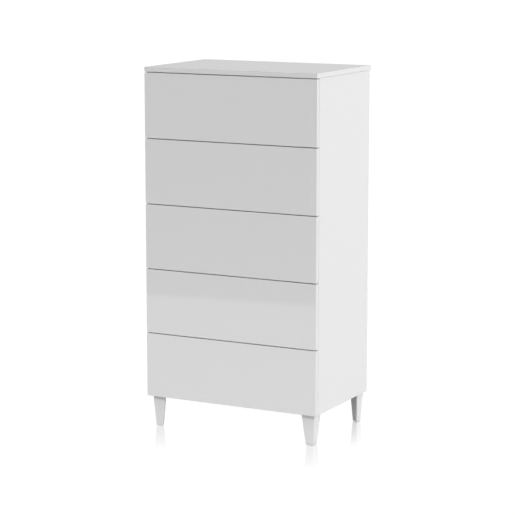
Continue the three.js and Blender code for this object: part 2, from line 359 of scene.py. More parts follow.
def make_rolled_lines():
    """Lines that the rollers leave along a steel strip."""
    tree, given, result = new_group("Rolled Lines", {"Stretch": ALONG_STRIP}, ["Height", "Tone"])
    place = on_object(tree)
    lines = noise(tree, vector_math(tree, "MULTIPLY", place, given["Stretch"]), 1.0, 3.0, 0.6)
    spangle = add_node(tree, "ShaderNodeTexVoronoi", {"Vector": place, "Scale": 160.0}).outputs["Color"]
    spangle = add_node(tree, "ShaderNodeSeparateColor", {0: spangle}).outputs[0]
    tone = plus(tree, times(tree, lines, 0.7), times(tree, spangle, 0.3))
    give(tree, result["Height"], lines)
    give(tree, result["Tone"], tone)


# ---- Materials ----


DUST_COLOUR = (0.5, 0.49, 0.46, 1.0)


def new_material(name):
    material = bpy.data.materials.new(name)
    tree = empty_tree(material)
    shader = tree.nodes.new("ShaderNodeBsdfPrincipled")
    add_node(tree, "ShaderNodeOutputMaterial", {"Surface": shader.outputs["BSDF"]})
    return material, tree, shader


def finish_shader(tree, shader, colour, roughness, height, depth):
    """Colour, roughness, and a relief as deep as the given depth."""
    give(tree, shader.inputs["Base Color"], colour)
    give(tree, shader.inputs["Roughness"], roughness)
    bump = add_node(tree, "ShaderNodeBump", {"Height": height, "Distance": depth})
    give(tree, shader.inputs["Normal"], bump.outputs["Normal"])


def gloss_foil(name, finishes, size, dust=0.0, band=0.0, edge_and_gap_shade_tone=1.0, painted_shade_below=None):
    """High-gloss white foil. A board with an edge band shows its hairline joint.
    The upper and lower edges can be satin and a tone darker than the faces: a little of that is the edge
    band's own tone, most is painted shade for the gaps between the fronts.
    A leg gets painted shade on its front just below the height where the drawer front ends; it stands for
    the shadow under the fronts."""
    material, tree, shader = new_material(name)
    foil = finishes.foil_colour
    distance = place_group(tree, "Edge Distance", size=size)["Distance"]
    marks = place_group(tree, "Handling Marks", scale=5.0)["Mask"]
    settled = place_group(tree, "Settled Dust", amount=dust)["Mask"]
    rubbed = ramp(tree, distance, 0.0, 1.6 * MM, 1.0, 0.0)
    colour = mix_colour(tree, rubbed, rgba(foil), rgba(foil, 0.965))
    colour = mix_colour(tree, times(tree, marks, 0.35), colour, rgba(foil, 0.985))
    if band > 0:
        line = place_group(tree, "Edge Band Joint", distance=distance, band=band, width=0.18 * MM)["Line"]
        colour = mix_colour(tree, times(tree, line, 0.55), colour, rgba(foil, 0.55))
    colour = mix_colour(tree, times(tree, settled, 0.10), colour, (0.55, 0.54, 0.52, 1.0))
    roughness = plus(tree, finishes.foil_roughness, times(tree, marks, 0.012))
    roughness = plus(tree, roughness, times(tree, rubbed, 0.10))
    roughness = plus(tree, roughness, times(tree, settled, 0.12))
    # Painted shade: darker upper and lower edges make the gaps between the drawer fronts dark; the added
    # roughness is the satin edge band's own.
    if edge_and_gap_shade_tone < 1:
        upright = math_node(tree, "ABSOLUTE", along_axis(tree, surface(tree, "Normal"), "Z"))
        level = ramp(tree, upright, 0.70, 0.98)
        colour = mix_colour(tree, level, colour, rgba(foil, edge_and_gap_shade_tone))
        roughness = plus(tree, roughness, times(tree, level, 0.32))
    # Painted shade: the top of a leg's front face is darkened for the shadow of the drawer fronts above it.
    if painted_shade_below is not None:
        height = along_axis(tree, surface(tree, "Position"), "Z")
        outward = along_axis(tree, surface(tree, "Normal"), "Y")
        close = ramp(tree, height, painted_shade_below - 18 * MM, painted_shade_below - 9 * MM)
        shade = times(tree, close, ramp(tree, outward, -0.9, -0.6, 1.0, 0.0))
        colour = mix_colour(tree, shade, colour, rgba(foil, 0.76))
    shader.inputs["IOR"].default_value = 1.5
    ripple = place_group(tree, "Foil Ripple")["Height"]
    finish_shader(tree, shader, colour, roughness, ripple, 0.004 * MM)
    return material


def matt_melamine(name, finishes, size, band=1.0 * MM):
    """Matt white board with a pored paper face and banded edges."""
    material, tree, shader = new_material(name)
    paper = finishes.melamine_colour
    distance = place_group(tree, "Edge Distance", size=size)["Distance"]
    grain = place_group(tree, "Paper Grain")
    marks = place_group(tree, "Handling Marks", scale=8.0, amount=0.8)["Mask"]
    settled = place_group(tree, "Settled Dust", amount=0.8)["Mask"]
    line = place_group(tree, "Edge Band Joint", distance=distance, band=band, width=0.2 * MM)["Line"]
    colour = mix_colour(tree, grain["Tone"], rgba(paper, 0.975), rgba(paper))
    colour = mix_colour(tree, times(tree, line, 0.5), colour, rgba(paper, 0.5))
    colour = mix_colour(tree, times(tree, settled, 0.12), colour, DUST_COLOUR)
    roughness = math_node(tree, "SUBTRACT", 0.52, times(tree, marks, 0.12))
    finish_shader(tree, shader, colour, roughness, grain["Height"], 0.02 * MM)
    return material


def two_faced_hardboard(name, finishes, raw_axis, raw_sign):
    """Thin hardboard: lacquered on one face, raw fibre on the other and at the edges."""
    material, tree, shader = new_material(name)
    turned = times(tree, along_axis(tree, surface(tree, "Normal"), raw_axis), raw_sign)
    raw = ramp(tree, turned, -0.9, -0.6)
    fibre = place_group(tree, "Pressed Fibre")
    grain = place_group(tree, "Paper Grain", scale=700.0)
    settled = place_group(tree, "Settled Dust")["Mask"]
    brown = finishes.fibre_colour
    lacquer = finishes.lacquer_colour
    fibre_tone = mix_colour(tree, fibre["Tone"], rgba(brown, 0.62), rgba(brown, 1.12))
    lacquer_tone = mix_colour(tree, grain["Tone"], rgba(lacquer, 0.965), rgba(lacquer))
    colour = mix_colour(tree, raw, lacquer_tone, fibre_tone)
    colour = mix_colour(tree, times(tree, settled, 0.15), colour, DUST_COLOUR)
    roughness = ramp(tree, raw, 0.0, 1.0, 0.38, 0.72)
    height = times(tree, fibre["Height"], ramp(tree, raw, 0.0, 1.0, 0.15, 1.0))
    finish_shader(tree, shader, colour, roughness, height, 0.12 * MM)
    return material


def zinc_steel(name, finishes, stretch, roughness=0.28, shade=1.0):
    """Zinc-plated strip steel with rolling lines and a faint spangle."""
    material, tree, shader = new_material(name)
    zinc = finishes.zinc_colour
    lines = place_group(tree, "Rolled Lines", stretch=stretch)
    marks = place_group(tree, "Handling Marks", scale=24.0)["Mask"]
    colour = mix_colour(tree, lines["Tone"], rgba(zinc, 0.82 * shade), rgba(zinc, 1.08 * shade))
    colour = mix_colour(tree, times(tree, marks, 0.3), colour, rgba(zinc, 0.75 * shade))
    shader.inputs["Metallic"].default_value = 1.0
    rough = plus(tree, roughness, times(tree, lines["Tone"], 0.12))
    rough = plus(tree, rough, times(tree, marks, 0.10))
    finish_shader(tree, shader, colour, rough, lines["Height"], 0.015 * MM)
    return material


def moulded_plastic(name, colour_value, roughness):
    """Moulded plastic with a fine spark-eroded grain and rubbed patches."""
    material, tree, shader = new_material(name)
    grain = place_group(tree, "Paper Grain", scale=1400.0)
    marks = place_group(tree, "Handling Marks", scale=40.0)["Mask"]
    colour = mix_colour(tree, grain["Tone"], rgba(colour_value, 0.92), rgba(colour_value, 1.04))
    colour = mix_colour(tree, times(tree, marks, 0.25), colour, rgba(colour_value, 1.25))
    rough = math_node(tree, "SUBTRACT", roughness, times(tree, marks, 0.15))
    finish_shader(tree, shader, colour, rough, grain["Height"], 0.03 * MM)
    return material


# ---- Tools for pieces ----


def node_size(node):
    low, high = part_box(node)
    return high - low


def outer_x(box, sign):
    """The face of a part on the left or the right that is away from the chest's middle."""
    return box[1].x if sign > 0 else box[0].x


def inner_x(box, sign):
    return outer_x(box, -sign)


def add_modifier(thing, name, kind, **settings):
    modifier = thing.modifiers.new(name, kind)
    for key, value in settings.items():
        setattr(modifier, key, value)


def soften_edges(thing, radius, segments):
    """Joins split vertices and rounds the sharp edges, leaving the mesh itself alone."""
    add_modifier(thing, "join_edges", "WELD", merge_threshold=0.01 * MM)
    add_modifier(
        thing, "round_edges", "BEVEL", width=radius, segments=segments,
        limit_method="ANGLE", angle_limit=math.radians(30), use_clamp_overlap=True,
    )
    add_modifier(thing, "flat_faces", "WEIGHTED_NORMAL", mode="FACE_AREA", weight=100, keep_sharp=False)


def finish_node(node, material, radius=0.0, segments=2):
    thing = frame["nodes"][node]
    thing.data.materials.clear()
    thing.data.materials.append(material)
    if radius > 0:
        soften_edges(thing, radius, segments)


def mesh_object(name, builder, material):
    """Turns a bmesh into an object in the scene."""
    bmesh.ops.recalc_face_normals(builder, faces=builder.faces[:])
    mesh = bpy.data.meshes.new(name)
    builder.to_mesh(mesh)
    builder.free()
    mesh.materials.append(material)
    thing = bpy.data.objects.new(name, mesh)
    bpy.context.scene.collection.objects.link(thing)
    return thing


def add_piece(name, builder, material, body, smooth=True):
    """Adds a piece that rides on a body. Smooth shading stops at sharp edges."""
    piece = mesh_object(name, builder, material)
    if smooth:
        piece.data.shade_smooth()
        piece.data.set_sharp_from_angle(angle=math.radians(35))
    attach(piece, body)


def facing(direction, at):
    """A matrix that puts a part drawn on the XY plane at a point, its +Z along a direction."""
    turn = Vector(direction).to_track_quat("Z", "Y").to_matrix().to_4x4()
    return Matrix.Translation(at) @ turn


def add_ring(builder, place, radius, height, segments):
    angles = (2 * math.pi * i / segments for i in range(segments))
    points = ((radius * math.cos(a), radius * math.sin(a), height) for a in angles)
    return [builder.verts.new(place @ Vector(point)) for point in points]


def bridge(builder, lower, upper):
    count = len(lower)
    for i in range(count):
        j = (i + 1) % count
        builder.faces.new((lower[i], lower[j], upper[j], upper[i]))


def loop_edges(builder, ring):
    edges = []
    for i, vertex in enumerate(ring):
        pair = (vertex, ring[(i + 1) % len(ring)])
        edges.append(builder.edges.get(pair) or builder.edges.new(pair))
    return edges


def add_turned(builder, place, profile, segments, closed=True):
    """A turned shape. The profile runs from the seat to the flat top, which can stay open."""
    rings = [add_ring(builder, place, radius, height, segments) for radius, height in profile]
    builder.faces.new(rings[0][::-1])
    for lower, upper in zip(rings, rings[1:]):
        bridge(builder, lower, upper)
    if closed:
        builder.faces.new(rings[-1])
    return rings[-1]


def add_head(builder, place, profile, recess_reach, recess_half, recess_depth, segments=24):
    """A round head with a cross recess."""
    rim = add_turned(builder, place, profile, segments, closed=False)
    top = profile[-1][1]
    far, near = recess_reach, recess_half
    quarter = [(far, -near), (far, near), (near, near)]
    outline = []
    for turn in range(4):
        spin = Matrix.Rotation(turn * math.pi / 2, 3, "Z")
        outline += [spin @ Vector((x, y, 0)) for x, y in quarter]
    mouth = [builder.verts.new(place @ (p + Vector((0, 0, top)))) for p in outline]
    floor = [builder.verts.new(place @ (p * 0.7 + Vector((0, 0, top - recess_depth)))) for p in outline]
    edges = loop_edges(builder, rim) + loop_edges(builder, mouth)
    bmesh.ops.triangle_fill(builder, use_beauty=True, edges=edges)
    bridge(builder, mouth, floor)
    builder.faces.new(floor)


def pan_head(builder, place, diameter, height):
    radius = diameter / 2
    profile = [(radius, 0.0), (radius, height * 0.35), (radius * 0.93, height * 0.68),
               (radius * 0.78, height * 0.92), (radius * 0.62, height)]
    add_head(builder, place, profile, radius * 0.5, radius * 0.12, height * 0.55)


def cam_head(builder, place, diameter, proud):
    """A cam lock's face: a flush disc with a raised rim, seated in its bore."""
    radius = diameter / 2
    profile = [(radius, -2 * MM), (radius, proud * 0.7), (radius * 0.96, proud), (radius * 0.84, proud),
               (radius * 0.80, proud * 0.3), (radius * 0.56, proud * 0.3)]
    add_head(builder, place, profile, radius * 0.46, radius * 0.13, 1.6 * MM)


def add_block(builder, low, high):
    size = Vector(high) - Vector(low)
    centre = (Vector(high) + Vector(low)) / 2
    bmesh.ops.create_cube(builder, size=1.0, matrix=Matrix.LocRotScale(centre, None, size))


def round_block(builder, radius, segments):
    edges = builder.edges[:]
    bmesh.ops.bevel(builder, geom=edges, offset=radius, segments=segments, affect="EDGES", profile=0.5)


# ---- Operators ----


class CHEST_OT_effects(bpy.types.Operator):
    """Build the node groups that the materials share"""

    bl_idname = "chest.effects"
    bl_label = "Shared Effects"

    def execute(self, context):
        for make_effect in (
            make_edge_distance, make_edge_line, make_handling_marks, make_foil_ripple,
            make_settled_dust, make_paper_grain, make_pressed_fibre, make_rolled_lines,
        ):
            make_effect()
        return {"FINISHED"}


class CHEST_OT_gloss_boards(bpy.types.Operator):
    """Finish the top, the side panels and the drawer fronts in gloss foil"""

    bl_idname = "chest.gloss_boards"
    bl_label = "Gloss Boards"

    def execute(self, context):
        finishes = context.scene.chest_finishes
        radius = finishes.edge_radius
        top = gloss_foil("top_foil", finishes, node_size("top_panel"), dust=0.6)
        finish_node("top_panel", top, radius, 3)
        for side, _ in SIDES:
            node = f"side_panel_{side}"
            foil = gloss_foil(f"side_foil_{side}", finishes, node_size(node), band=1.0 * MM)
            finish_node(node, foil, radius * 0.6)
        # The fronts' darker upper and lower edges are painted shade for the gaps between them.
        front = gloss_foil("front_foil", finishes, node_size("drawer_front_1"), edge_and_gap_shade_tone=0.68)
        for number in DRAWERS:
            finish_node(f"drawer_front_{number}", front, radius, 3)
        return {"FINISHED"}


class CHEST_OT_hidden_boards(bpy.types.Operator):
    """Finish the bottom panel, the rails and the back panel"""

    bl_idname = "chest.hidden_boards"
    bl_label = "Hidden Boards"

    def execute(self, context):
        finishes = context.scene.chest_finishes
        bottom = matt_melamine("bottom_melamine", finishes, node_size("bottom_panel"))
        finish_node("bottom_panel", bottom, 0.4 * MM)
        rail = matt_melamine("rail_melamine", finishes, node_size("top_rail_front"))
        for node in ("top_rail_front", "top_rail_rear"):
            finish_node(node, rail, 0.4 * MM)
        back = two_faced_hardboard("back_hardboard", finishes, "Y", 1.0)
        finish_node("back_panel", back, 0.3 * MM)
        return {"FINISHED"}


class CHEST_OT_drawer_boxes(bpy.types.Operator):
    """Finish the folded wraps and the bottoms of the drawer boxes"""

    bl_idname = "chest.drawer_boxes"
    bl_label = "Drawer Boxes"

    def execute(self, context):
        finishes = context.scene.chest_finishes
        wrap = matt_melamine("wrap_melamine", finishes, node_size("drawer_wrap_1"), band=0.5 * MM)
        bottom = two_faced_hardboard("drawer_hardboard", finishes, "Z", -1.0)
        for number in DRAWERS:
            finish_node(f"drawer_wrap_{number}", wrap, 0.5 * MM)
            finish_node(f"drawer_bottom_{number}", bottom)
        return {"FINISHED"}


class CHEST_OT_legs(bpy.types.Operator):
    """Finish the legs and their foot glides"""

    bl_idname = "chest.legs"
    bl_label = "Legs"

    def execute(self, context):
        finishes = context.scene.chest_finishes
        chest_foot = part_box("bottom_panel")[0].z
        # The leg material carries painted shade where the drawer fronts shadow the legs.
        leg = gloss_foil("leg_gloss", finishes, node_size("leg_front_left"), painted_shade_below=chest_foot)
        glide = moulded_plastic("glide_nylon", finishes.nylon_colour, 0.5)
        for end in ("front", "rear"):
            for side, _ in SIDES:
                finish_node(f"leg_{end}_{side}", leg, 0.5 * MM)
                finish_node(f"foot_glide_{end}_{side}", glide)
        return {"FINISHED"}


class CHEST_OT_slide_members(bpy.types.Operator):
    """Finish the members of the drawer slides in zinc-plated steel"""

    bl_idname = "chest.slide_members"
    bl_label = "Slide Members"

    def execute(self, context):
        finishes = context.scene.chest_finishes
        steel = zinc_steel("slide_zinc", finishes, ALONG_STRIP)
        for number, side, _ in SLIDES:
            for kind in ("cabinet", "middle", "drawer"):
                finish_node(f"slide_{kind}_{side}_{number}", steel, 0.25 * MM)
        return {"FINISHED"}


class CHEST_OT_ball_cages(bpy.types.Operator):
    """Add the ball cages and their balls between the slide members"""

    bl_idname = "chest.ball_cages"
    bl_label = "Ball Cages"

    def execute(self, context):
        finishes = context.scene.chest_finishes
        cage_plastic = moulded_plastic("cage_plastic", finishes.dark_plastic_colour, 0.5)
        ball_steel = zinc_steel("ball_steel", finishes, (400.0, 400.0, 400.0), 0.08, 1.15)
        for slide in SLIDES:
            self.add_cages(context.scene.chest_fittings, slide, cage_plastic, ball_steel)
        return {"FINISHED"}

    def add_cages(self, fittings, slide, cage_plastic, ball_steel):
        """The outer cage sits in the rear half of the middle member, clear of the stops when it is out.
        The inner cage sits in its front half."""
        number, side, sign = slide
        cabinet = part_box(f"slide_cabinet_{side}_{number}")
        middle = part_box(f"slide_middle_{side}_{number}")
        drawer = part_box(f"slide_drawer_{side}_{number}")
        inset = 12 * MM
        centre_y = (middle[0].y + middle[1].y) / 2
        centre_z = (middle[0].z + middle[1].z) / 2
        outer_row = ((cabinet[1].z - SHEET_STEEL) + middle[1].z) / 2 - centre_z
        inner_row = ((middle[1].z - SHEET_STEEL) + drawer[1].z) / 2 - centre_z
        spans = {
            "outer": (centre_y + inset, middle[1].y - inset, outer_row, cabinet, middle),
            "inner": (middle[0].y + inset, centre_y - inset, inner_row, middle, drawer),
        }
        for kind, (start, end, row, holder, held) in spans.items():
            gap_middle = (max(holder[0].x, held[0].x) + min(holder[1].x, held[1].x)) / 2
            centre = Vector((gap_middle + sign * 0.3 * MM, 0, centre_z))
            cage, balls = self.make_cage(fittings, (start, end), centre, row)
            name = f"{kind}_{side}_{number}"
            add_piece(f"ball_cage_{name}", cage, cage_plastic, f"carriage_{number}", smooth=False)
            add_piece(f"slide_balls_{name}", balls, ball_steel, f"carriage_{number}")

    def make_cage(self, fittings, span, centre, row):
        """Two strips with a row of balls each, one row above the centre and one below."""
        radius = fittings.ball_diameter / 2
        count = int((span[1] - span[0]) / fittings.ball_spacing)
        pitch = (span[1] - span[0]) / count
        strip = Vector((2.4 * MM, 0, 0.55 * MM))
        balls = bmesh.new()
        cage = bmesh.new()
        for level in (-row, row):
            middle = centre + Vector((0, 0, level))
            places = [span[0] + pitch * (i + 0.5) for i in range(count)]
            for y in places:
                where = Matrix.Translation((middle.x, y, middle.z))
                bmesh.ops.create_uvsphere(balls, u_segments=12, v_segments=8, radius=radius, matrix=where)
            self.add_strip(cage, span, places, middle, strip, radius * 1.06)
        return cage, balls

    def add_strip(self, builder, span, places, centre, half, hole_radius):
        """A flat strip with a round hole for each ball."""
        sheets = []
        for level in (-half.z, half.z):
            corners = [(-half.x, span[0]), (half.x, span[0]), (half.x, span[1]), (-half.x, span[1])]
            rim = [builder.verts.new((centre.x + x, y, centre.z + level)) for x, y in corners]
            edges = loop_edges(builder, rim)
            rings = []
            for y in places:
                where = Matrix.Translation((centre.x, y, centre.z))
                ring = add_ring(builder, where, hole_radius, level, 10)
                edges += loop_edges(builder, ring)
                rings.append(ring)
            bmesh.ops.triangle_fill(builder, use_beauty=True, edges=edges)
            sheets.append((rim, rings))
        (low_rim, low_rings), (high_rim, high_rings) = sheets
        bridge(builder, low_rim, high_rim)
        for low_ring, high_ring in zip(low_rings, high_rings):
            bridge(builder, low_ring, high_ring)


class CHEST_OT_slide_fittings(bpy.types.Operator):
    """Add the screws, front bumpers, cage stops and release levers of the slides"""

    bl_idname = "chest.slide_fittings"
    bl_label = "Slide Fittings"
    cabinet_holes = (35 * MM, 163 * MM, 291 * MM)
    drawer_holes = (28 * MM, 156 * MM, 300 * MM)

    def execute(self, context):
        finishes = context.scene.chest_finishes
        screw_zinc = zinc_steel("screw_zinc", finishes, TURNED, 0.3, 0.9)
        stop_zinc = zinc_steel("stop_zinc", finishes, ALONG_STRIP)
        dark = moulded_plastic("lever_plastic", finishes.dark_plastic_colour, 0.42)
        for slide in SLIDES:
            self.add_screws(context.scene.chest_fittings.screw_diameter, *slide, screw_zinc)
            self.add_bumper(*slide, dark)
            self.add_stops(*slide, stop_zinc)
            self.add_lever(*slide, dark)
        return {"FINISHED"}

    def add_screws(self, diameter, number, side, sign, material):
        """Screws through the cabinet member into the side, and through the drawer member into the box."""
        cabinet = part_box(f"slide_cabinet_{side}_{number}")
        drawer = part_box(f"slide_drawer_{side}_{number}")
        cabinet_x = outer_x(cabinet, sign) - sign * SHEET_STEEL
        drawer_x = inner_x(drawer, sign) + sign * SHEET_STEEL
        centre_z = (cabinet[0].z + cabinet[1].z) / 2
        for kind, x, start_y, direction, holes, height, body in (
            ("cabinet", cabinet_x, cabinet[0].y, -sign, self.cabinet_holes, 0.9 * MM, "carcass"),
            ("box", drawer_x, drawer[0].y, sign, self.drawer_holes, 1.9 * MM, f"drawer_{number}"),
        ):
            builder = bmesh.new()
            for along in holes:
                place = facing((direction, 0, 0), Vector((x, start_y + along, centre_z)))
                pan_head(builder, place, diameter, height)
            add_piece(f"{kind}_screws_{side}_{number}", builder, material, body)

    def add_bumper(self, number, side, sign, material):
        """A pair of plastic stops clipped in the front end of the cabinet member."""
        low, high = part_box(f"slide_cabinet_{side}_{number}")
        middle_low, middle_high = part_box(f"slide_middle_{side}_{number}")
        clear = 0.3 * MM
        near_x = inner_x((low, high), sign) + sign * 2.2 * MM
        builder = bmesh.new()
        lower_gap = (low.z + SHEET_STEEL, middle_low.z - clear)
        upper_gap = (middle_high.z + clear, high.z - SHEET_STEEL)
        near, far = sorted((near_x, near_x + sign * 5.5 * MM))
        for start, end in (lower_gap, upper_gap):
            add_block(builder, (near, low.y + 0.6 * MM, start), (far, low.y + 13 * MM, end))
        round_block(builder, 0.5 * MM, 2)
        add_piece(f"slide_bumper_{side}_{number}", builder, material, "carcass", smooth=False)

    def add_stops(self, number, side, sign, material):
        """Pressed bosses near the ends of the middle member, which hold the ball cages in."""
        low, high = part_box(f"slide_middle_{side}_{number}")
        face_x = outer_x((low, high), sign)
        centre_z = (low.z + high.z) / 2
        profile = [(3.2 * MM, -0.2 * MM), (2.9 * MM, 0.3 * MM), (2.2 * MM, 0.6 * MM), (1.2 * MM, 0.75 * MM)]
        builder = bmesh.new()
        for y in (low.y + 24 * MM, high.y - 24 * MM):
            for z in (centre_z - 8 * MM, centre_z + 8 * MM):
                add_turned(builder, facing((sign, 0, 0), Vector((face_x, y, z))), profile, 20)
        add_piece(f"slide_stops_{side}_{number}", builder, material, f"carriage_{number}")

    def add_lever(self, number, side, sign, material):
        """The lever that frees the drawer from its slide, in the drawer member's channel."""
        low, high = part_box(f"slide_drawer_{side}_{number}")
        centre_z = (low.z + high.z) / 2
        start_y = low.y + 70 * MM
        length = 58 * MM
        steps = 14
        upper, lower = [], []
        for i in range(steps + 1):
            share = i / steps
            y = start_y + share * length
            sweep = 3.6 * MM * math.sin(share * math.pi * 1.5)
            half = (2.4 - 1.3 * share) * MM
            upper.append((y, centre_z + sweep + half))
            lower.append((y, centre_z + sweep - half))
        outline = upper + lower[::-1]
        near_x = inner_x((low, high), sign) + sign * 1.4 * MM
        far_x = near_x + sign * 4.6 * MM
        builder = bmesh.new()
        near = [builder.verts.new((near_x, y, z)) for y, z in outline]
        far = [builder.verts.new((far_x, y, z)) for y, z in outline]
        for sheet in (near, far):
            bmesh.ops.triangle_fill(builder, use_beauty=True, edges=loop_edges(builder, sheet))
        bridge(builder, near, far)
        add_piece(f"release_lever_{side}_{number}", builder, material, f"drawer_{number}")


class CHEST_OT_push_latches(bpy.types.Operator):
    """Add the push-to-open latches behind the slides"""

    bl_idname = "chest.push_latches"
    bl_label = "Push Latches"

    def execute(self, context):
        finishes = context.scene.chest_finishes
        grey = moulded_plastic("latch_plastic", finishes.latch_colour, 0.45)
        for slide in SLIDES:
            self.add_latch(*slide, grey)
        return {"FINISHED"}

    def add_latch(self, number, side, sign, material):
        """A housing against the back panel with a round plunger that meets the drawer member."""
        low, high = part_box(f"slide_cabinet_{side}_{number}")
        member_low, member_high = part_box(f"slide_drawer_{side}_{number}")
        back_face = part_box("back_panel")[0].y
        gap = 0.3 * MM
        centre_z = (low.z + high.z) / 2
        wall_x = outer_x((low, high), sign)
        near, far = sorted((wall_x - sign * gap, wall_x - sign * 12.5 * MM))
        builder = bmesh.new()
        lower_corner = (near, high.y + gap, centre_z - 15 * MM)
        add_block(builder, lower_corner, (far, back_face - gap, centre_z + 15 * MM))
        round_block(builder, 0.8 * MM, 3)
        plunger_x = (member_low.x + member_high.x) / 2
        place = facing((0, -1, 0), Vector((plunger_x, high.y + gap, centre_z)))
        reach = high.y - member_high.y
        profile = [(2.6 * MM, -0.5 * MM), (2.6 * MM, reach - 0.5 * MM), (2.1 * MM, reach)]
        add_turned(builder, place, profile, 20)
        add_piece(f"push_latch_{side}_{number}", builder, material, "carcass")


class CHEST_OT_leg_screws(bpy.types.Operator):
    """Add the screws that hold the legs, seen on the bottom panel inside the chest"""

    bl_idname = "chest.leg_screws"
    bl_label = "Leg Screws"

    def execute(self, context):
        finishes = context.scene.chest_finishes
        steel = zinc_steel("leg_screw_zinc", finishes, TURNED, 0.3, 0.9)
        floor_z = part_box("bottom_panel")[1].z
        builder = bmesh.new()
        for end, outward in (("front", -1), ("rear", 1)):
            for side, sign in SIDES:
                low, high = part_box(f"leg_{end}_{side}")
                corner = Vector((outer_x((low, high), sign), high.y if outward > 0 else low.y, floor_z))
                for across, along in ((30, 12), (13, 29)):
                    at = corner - Vector((sign * across * MM, outward * along * MM, 0))
                    pan_head(builder, facing((0, 0, 1), at), 8.0 * MM, 2.6 * MM)
        add_piece("leg_screws", builder, steel, "carcass")
        return {"FINISHED"}


class CHEST_OT_cam_locks(bpy.types.Operator):
    """Add the cam locks of the carcass and of the drawer boxes"""

    bl_idname = "chest.cam_locks"
    bl_label = "Cam Locks"

    def execute(self, context):
        finishes = context.scene.chest_finishes
        fittings = context.scene.chest_fittings
        alloy = zinc_steel("cam_alloy", finishes, (350.0, 350.0, 350.0), 0.42, 0.85)
        proud = 0.35 * MM
        from_side = 34 * MM
        low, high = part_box("bottom_panel")
        rows = [(low, high, y) for y in (-105 * MM, 0.0, 105 * MM)]
        for rail in ("top_rail_front", "top_rail_rear"):
            low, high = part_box(rail)
            rows += [(low, high, low.y + share * (high.y - low.y)) for share in (0.25, 0.75)]
        builder = bmesh.new()
        for low, high, y in rows:
            for x in (low.x + from_side, high.x - from_side):
                place = facing((0, 0, -1), Vector((x, y, low.z)))
                cam_head(builder, place, fittings.carcass_cam_diameter, proud)
        add_piece("carcass_cams", builder, alloy, "carcass")
        for number in DRAWERS:
            self.add_box_cams(number, fittings.box_cam_diameter, proud, alloy)
        return {"FINISHED"}

    def add_box_cams(self, number, diameter, proud, alloy):
        low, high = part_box(f"drawer_wrap_{number}")
        wall = 12 * MM
        builder = bmesh.new()
        for sign, wall_x in ((1, high.x - wall), (-1, low.x + wall)):
            for z in (low.z + 38 * MM, high.z - 32 * MM):
                place = facing((-sign, 0, 0), Vector((wall_x, low.y + 24 * MM, z)))
                cam_head(builder, place, diameter, proud)
        add_piece(f"box_cams_{number}", builder, alloy, f"drawer_{number}")


class CHEST_OT_back_nails(bpy.types.Operator):
    """Add the nails that hold the back panel in its rebate"""

    bl_idname = "chest.back_nails"
    bl_label = "Back Nails"

    def execute(self, context):
        finishes = context.scene.chest_finishes
        fittings = context.scene.chest_fittings
        steel = zinc_steel("nail_steel", finishes, TURNED, 0.35, 0.8)
        low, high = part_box("back_panel")
        radius = fittings.nail_diameter / 2
        edge = 3.9 * MM
        board_middle = 8 * MM
        profile = [
            (radius, -0.2 * MM), (radius, 0.25 * MM), (radius * 0.8, 0.5 * MM), (radius * 0.4, 0.66 * MM),
        ]
        upright = self.spread(low.z + 34 * MM, high.z - 34 * MM, fittings.nail_spacing)
        level = self.spread(low.x + 40 * MM, high.x - 40 * MM, fittings.nail_spacing)
        spots = [(x, z) for z in upright for x in (low.x + edge, high.x - edge)]
        spots += [(x, z) for x in level for z in (low.z + board_middle, high.z - board_middle)]
        builder = bmesh.new()
        for x, z in spots:
            add_turned(builder, facing((0, 1, 0), Vector((x, high.y, z))), profile, 16)
        add_piece("back_nails", builder, steel, "carcass")
        return {"FINISHED"}

    @staticmethod
    def spread(start, end, spacing):
        gaps = math.ceil((end - start) / spacing)
        return [start + (end - start) * i / gaps for i in range(gaps + 1)]


